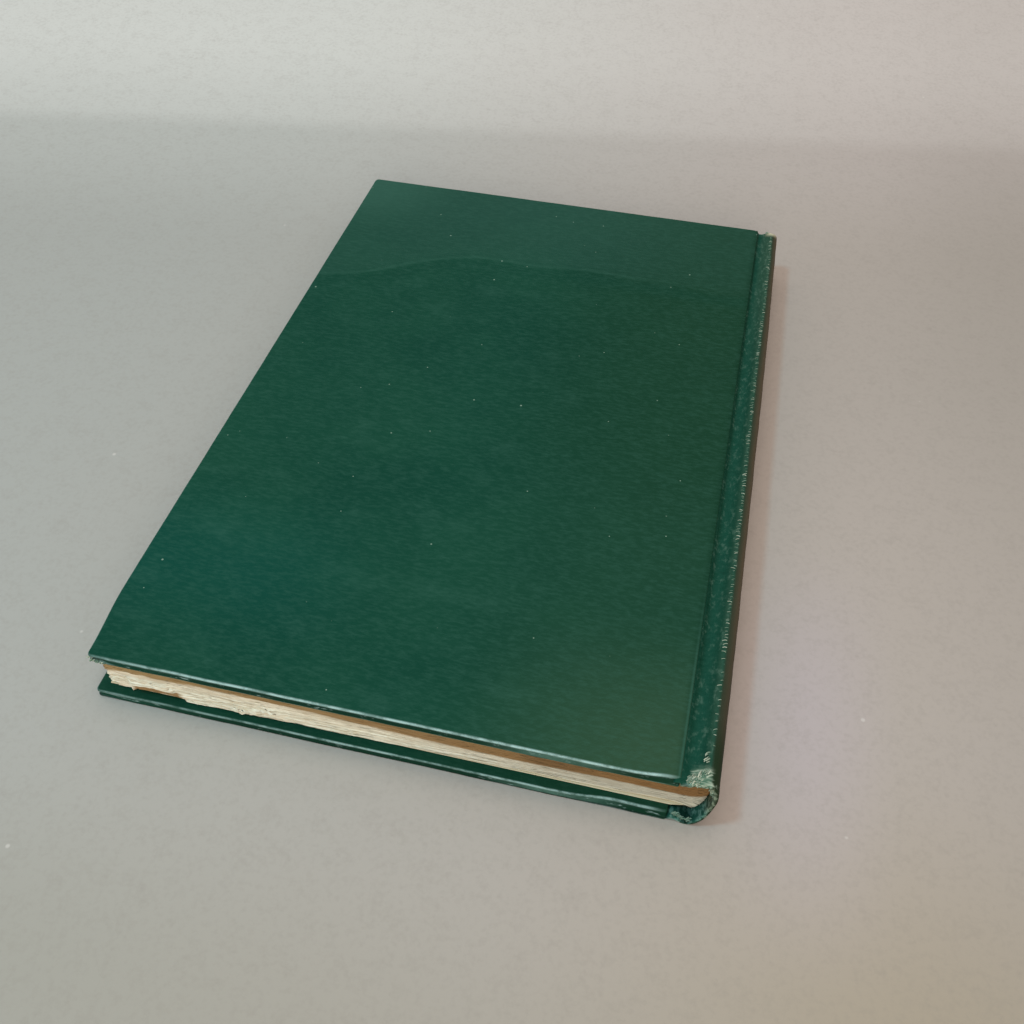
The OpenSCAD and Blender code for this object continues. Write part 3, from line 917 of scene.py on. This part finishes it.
def endpaper(name, rear, material):
    """Pastedown and its hinge: over the turned-in cloth, through the joint, on to the block."""
    hinge = 18
    near = [MARGIN, MARGIN + 0.1, MARGIN + 0.4, *np.linspace(6, TURN_IN - 0.6, 5)]
    near += [TURN_IN, TURN_IN + 0.6, TURN_IN + 1.2, TURN_IN + 4]
    us = near + list(np.linspace(TURN_IN + 4, COVER_W - 1.0, 42))[1:]
    vs = from_both_ends(near, COVER_H, 66)
    shift = 0.0 if rear else -COCK
    line = [(u + shift, None) for u in us]
    x0 = COVER_W + shift
    share = 1.0 if rear else 0.0
    x1 = fold_point(share)[0] - 0.2
    board_z = BOOK_T - COVER_T - PAPER_T

    def surface(z):
        return z if rear else BOOK_T - z

    for k in range(hinge + 1):
        x = x0 + (x1 - x0) * k / hinge
        block = surface(leaf_point(share, x)) + 0.1
        line.append((x, board_z + (block - board_z) * smooth(clamp(k / 5))))
    outer, inner, sides = blank_grids(line, vs, 1)
    for i, (x, z) in enumerate(line):
        for j, v in enumerate(vs):
            inside = min(x - shift - TURN_IN, v - TURN_IN, COVER_H - TURN_IN - v)
            low = board_z + CLOTH_T * smooth(clamp(inside))
            if z is not None:
                low += (z - low) * smooth(clamp((x - x0) / 1.5))
            back = 1.2 * smooth(clamp((x - x1 + 5.0) / 5.0)) * clamp(1 - (v - MARGIN) / 6.0)
            for grid, height in ((outer, low), (inner, low + PAPER_T - 0.01)):
                grid[i, j] = (SHIFT_X + x, v + back - HALF_H, surface(height))
            sides[i, j] = clamp(1 - (x - shift - MARGIN) / 14.0)
    return thick_sheet(name, outer, inner, material, side=sides)


THREAD_INPUTS = (
    ("Count", "Int"), ("Length", "Float"), ("Thickness", "Float"), ("Turn low", "Vector"),
    ("Turn high", "Vector"), ("Scatter", "Vector"), ("Seed", "Int"), ("Thread", "Material"),
)


def thread_tree():
    """Nodes that set short bent threads along a path, each turned and sized by chance."""
    tree = bpy.data.node_groups.new("frayed_threads", "GeometryNodeTree")
    face = tree.interface
    face.new_socket("Geometry", in_out="INPUT", socket_type="NodeSocketGeometry")
    for name, kind in THREAD_INPUTS:
        face.new_socket(name, in_out="INPUT", socket_type="NodeSocket" + kind)
    face.new_socket("Geometry", in_out="OUTPUT", socket_type="NodeSocketGeometry")

    def add(kind, inputs=None, **settings):
        return new_node(tree, kind, settings, inputs)

    def place(x, z):
        return add("ShaderNodeCombineXYZ", {"X": x, "Z": z}).outputs[0]

    def times(value, by):
        return add("ShaderNodeMath", {0: value, 1: by}, operation="MULTIPLY").outputs[0]

    def chance(low, high, seed, kind="FLOAT"):
        """A value drawn for each thread between two limits."""
        first = 2 if kind == "FLOAT" else 0
        limits = {first: low, first + 1: high, "Seed": seed}
        return add("FunctionNodeRandomValue", limits, data_type=kind).outputs[first // 2]

    given = add("NodeGroupInput").outputs
    long = given["Length"]
    strand = add("GeometryNodeCurveQuadraticBezier", {
        "Resolution": 5,
        "Start": place(0.0, 0.0),
        "Middle": place(times(long, 0.5), times(long, 0.3)),
        "End": place(long, times(long, -0.1)),
    })
    ring = add("GeometryNodeCurvePrimitiveCircle", {"Resolution": 5, "Radius": given["Thickness"]})
    tube = add("GeometryNodeCurveToMesh", {
        "Curve": strand.outputs[0], "Profile Curve": ring.outputs[0], "Fill Caps": True,
    })
    path = add("GeometryNodeMeshToCurve", {"Mesh": given["Geometry"]})
    along = {"Curve": path.outputs[0], "Count": given["Count"]}
    spots = add("GeometryNodeCurveToPoints", along, mode="COUNT").outputs["Points"]
    reach, seed = given["Scatter"], given["Seed"]
    opposite = {0: reach, 1: (-1.0, -1.0, -1.0)}
    back = add("ShaderNodeVectorMath", opposite, operation="MULTIPLY").outputs[0]
    off = chance(back, reach, seed, "FLOAT_VECTOR")
    moved = add("GeometryNodeSetPosition", {"Geometry": spots, "Offset": off})
    set_out = add("GeometryNodeInstanceOnPoints", {
        "Points": moved.outputs[0],
        "Instance": tube.outputs[0],
        "Rotation": chance(given["Turn low"], given["Turn high"], seed, "FLOAT_VECTOR"),
        "Scale": chance(0.5, 1.35, seed),
    })
    kept = add("GeometryNodeStoreNamedAttribute", {
        "Geometry": set_out.outputs[0], "Name": "pick", "Value": chance(0.0, 1.0, 5),
    }, data_type="FLOAT", domain="INSTANCE")
    real = add("GeometryNodeRealizeInstances", {"Geometry": kept.outputs[0]})
    dressed = add("GeometryNodeSetMaterial", {"Geometry": real.outputs[0], "Material": given["Thread"]})
    add("NodeGroupOutput", {"Geometry": dressed.outputs[0]})
    return tree


def threads(name, tree, path, material, count, length, thick, low, high, scatter, seed):
    """Threads along a path of points in mm; angles in degrees, a thread lies along X before it turns."""
    mesh = bpy.data.meshes.new(name + "_path")
    path = settled(np.array(path)) * MM
    mesh.from_pydata(path.tolist(), [(i, i + 1) for i in range(len(path) - 1)], [])
    base = show(name + "_path", mesh)
    modifier = base.modifiers.new("threads", "NODES")
    modifier.node_group = tree
    values = {
        "Count": count,
        "Length": length * MM,
        "Thickness": thick * MM,
        "Turn low": [math.radians(v) for v in low],
        "Turn high": [math.radians(v) for v in high],
        "Scatter": [v * MM for v in scatter],
        "Seed": seed,
        "Thread": material,
    }
    for socket in tree.interface.items_tree:
        if socket.in_out == "INPUT" and socket.name in values:
            modifier[socket.identifier] = values[socket.name]
    made = bpy.data.meshes.new_from_object(base.evaluated_get(bpy.context.evaluated_depsgraph_get()))
    bpy.data.objects.remove(base)
    made.name = name
    return show(name, made)


def ridge_path(low_y, high_y, lower):
    """Path along the rear ridge, between two heights and a little under its top."""
    x, z = SHIFT_X + RIDGE_REAR[0] + 0.35, RIDGE_REAR[1] + 0.02
    return [(x, y, z - lower) for y in np.linspace(low_y, high_y, 12)]


# Stage and light

def stage():
    """A plain pale floor that turns up gently far behind the book."""
    rows = [(-900.0, 0.0), (-300.0, 0.0), (0.0, 0.0), (214.0, 0.0)]
    rows += [(214.0 + 40 * k, 2.2 * k ** 1.5) for k in range(1, 22)]
    points = []
    columns = 15
    for y, z in rows:
        for c in range(columns):
            x = -1400 + 200 * c
            points.append((x, y + 0.18 * x, z - 0.02))
    floor = piece("floor", points, grid_faces(len(rows), columns), floor_finish(), closed=False)


def floor_finish():
    """Smooth grey-buff paper, cooler to the left and warmer to the right, with painted light: paler up the
    sweep and far back, darker near the front and to the right.
    """
    f = Finish("floor_paper")
    grain = f.cloud(1.6, 4, 0.7, seed=1)
    broad = f.cloud(120, 2, 0.5, seed=2)
    side = (f.x + (broad - 0.5) * 60).rise(-170, 130)
    f.tint = f.blend(side, (168, 171, 166), (177, 169, 161))
    # Painted light in the lines below: dimmer behind to the right, paler far back and up the sweep, darker
    # near the front and at the right, a paler pinker patch right of the book's tail
    behind = f.y - f.x * 0.18
    dim = behind.rise(-60, 60) * f.x.rise(0, 170)
    f.coat(dim, (171, 164, 156))
    f.coat(behind.rise(110, 214) * 0.7, f.blend(side, (189, 193, 188), (188, 181, 176)))
    sweep = f.blend(side, (210, 213, 208), (202, 197, 192))
    f.coat(behind.rise(204, 300) * 0.55 + behind.rise(207, 226) * 0.45, sweep)
    f.coat(f.y.rise(-130, -194) * 0.75, f.blend(side, (157, 158, 149), (163, 157, 145)))
    f.coat(f.y.rise(-80, -165) * f.x.rise(30, 150) * 0.65, (160, 148, 124))
    f.coat(f.x.rise(110, 185) * (0.3 - f.y.rise(200, 290) * 0.2), (150, 145, 136))
    f.coat(f.x.near(104, 28) * f.y.near(-84, 74) * 0.8, (182, 173, 174))
    spots = f.cloud(7, 4, 0.6, seed=7)
    f.coat((grain - 0.5) * 0.75 + (spots - 0.5) * 0.35 + 0.03, (140, 134, 126))
    specks = f.flecks(3.6, 0.004, 3)
    f.coat(specks * 0.4, (220, 218, 212))
    f.bump(grain, 0.05, 0.3)
    return f.dress(0.9, 0.08)


def lamp(name, place, size, power, colour):
    """A round soft lamp that points at the book."""
    data = bpy.data.lights.new(name, "AREA")
    data.shape, data.size = "DISK", size
    data.energy, data.color = power, colour
    obj = show(name, data)
    obj.location = place
    obj.rotation_euler = (-Vector(place)).to_track_quat("-Z", "Y").to_euler()


def light():
    """Warm soft light from all round and above, a cooler lamp up at the front left, a wide one in front."""
    world = bpy.data.worlds.new("room")
    world.use_nodes = True
    back = world.node_tree.nodes["Background"]
    back.inputs["Color"].default_value = (0.50, 0.43, 0.40, 1.0)
    back.inputs["Strength"].default_value = 1.0
    scene.world = world
    lamp("above", (0.0, 0.0, 1.8), 1.2, 9.6, (1.0, 0.87, 0.8))
    lamp("key", (-0.43, -0.42, 1.2), 0.15, 4.75, (0.30, 0.78, 1.0))
    lamp("fill", (0.25, -1.25, 0.6), 0.7, 8.2, (1.0, 0.95, 0.87))


# Assembly

stand_camera()
joint_finish = spine_cloth_finish()
paper_finish = endpaper_finish()

rear_skin = cover_skin("rear_cloth", True, cover_cloth_finish("rear_cloth_green", True))
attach(rear_skin, "rear_cover")
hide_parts("rear_cover_cloth", "rear_board")

front_skin = cover_skin("front_cloth", False, cover_cloth_finish("front_cloth_green", False))
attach(front_skin, "front_cover")
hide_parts("front_cover_cloth", "front_board")

spine = spine_sheet(joint_finish)
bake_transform(spine)
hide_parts("spine_cloth")

front_joint = front_joint_sheet(joint_finish)
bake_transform(front_joint)

leaves = leaf_block(leaves_finish())
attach(leaves, "book_block")
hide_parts("text_block")

rear_paper = endpaper("rear_endpaper", True, paper_finish)
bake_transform(rear_paper)
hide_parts("rear_pastedown")

front_paper = endpaper("front_endpaper", False, paper_finish)
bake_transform(front_paper)
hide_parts("front_pastedown")

tree = thread_tree()
bared = thread_finish()
# Length, thickness, least and most turn and scatter of the threads on the ridge
on_ridge = (0.9, 0.08, (-20, -2, 165), (20, 8, 205), (0.22, 0.5, 0.03))
# Name, what it is held by, seed, path and number of threads, and then as on the ridge
tufts = (
    ("ridge_threads_middle", "book_block", 0, ridge_path(-80.0, 50.0, 0.0), 120, *on_ridge),
    ("ridge_threads_head", "book_block", 1, ridge_path(50.0, 116.0, 0.05), 52, *on_ridge),
    ("ridge_threads_tail", "book_block", 2, ridge_path(-108.0, -80.0, 0.05), 14, *on_ridge),
    ("tail_fray_edge", "rear joint", 7, [(73.4, -119.3, 18.6), (76.0, -119.3, 19.0), (78.6, -119.2, 18.8)],
     96, 1.1, 0.14, (-30, -40, 10), (30, 20, 70), (0.5, 0.4, 0.5)),
    ("tail_fray_top", "rear joint", 8, [(74.4, -118.9, 18.9), (77.2, -117.4, 19.65), (78.8, -116.2, 19.8)],
     92, 1.2, 0.13, (-20, -6, 25), (20, 12, 75), (0.8, 0.8, 0.1)),
    ("tail_fray_ridge", "rear joint", 9,
     [(78.0, -113.3, 19.8), (77.7, -112.7, 19.75), (78.1, -110.9, 19.8)],
     9, 1.0, 0.15, (-20, -4, 30), (20, 10, 70), (0.4, 0.5, 0.05)),
    ("tail_fray_drop", "book_block", 10, [(79.6, -119.2, 17.9), (80.6, -119.2, 14.6)],
     22, 0.9, 0.13, (-30, -80, -20), (30, -20, 40), (0.3, 0.2, 0.5)),
    ("foot_fray", "front joint", 11, [(72.6, -119.4, 3.6), (73.8, -119.4, 2.2), (76.4, -119.4, 1.1)],
     44, 1.1, 0.1, (-20, -70, -20), (20, -25, 20), (0.45, 0.12, 0.35)),
    ("head_fray", "book_block", 12, [(77.0, 119.4, 19.4), (80.4, 119.0, 18.4)],
     26, 0.8, 0.2, (-30, -15, 40), (30, 30, 140), (0.5, 0.3, 0.3)),
    ("corner_fray", "rear_cover", 13,
     [(SHIFT_X + 1.9, -119.3, 19.0), (SHIFT_X + 2.6, -119.7, 17.9), (SHIFT_X + 5.8, -119.8, 17.5)],
     34, 0.65, 0.12, (-30, -20, 200), (30, 40, 260), (0.5, 0.15, 0.4)),
)
for name, hold, seed, path, *look in tufts:
    made = threads(name, tree, path, bared, *look, seed)
    if hold == "rear joint":
        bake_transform(made)
    elif hold == "front joint":
        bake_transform(made)
    else:
        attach(made, hold)

card = plain_board_finish("spine_card", (170, 140, 98), (140, 110, 74), 0.9)
kraft = plain_board_finish("kraft_lining", (176, 144, 100), (150, 118, 78), 0.7)
folds = math.degrees(math.asin(SHOULDER ** (POWER / 2)))
even = HALF_H - SQUARE
strip = back_sheet("card_strip", "spine_strip", 70.7, CLOTH_T, STRIP_T, HALF_H - CLOTH_T, card)
depth = BACK_DEPTH - MULL_T - LINING_T
paper = back_sheet("paper_lining", "spine_lining", folds, depth, LINING_T, even - TURN_IN / 4, kraft)
depth = BACK_DEPTH - MULL_T
gauze = back_sheet("gauze_mull", "mull", folds, depth, MULL_T, even - TURN_IN / 2, gauze_finish())

stage()
light()
scene.view_settings.view_transform = "Standard"
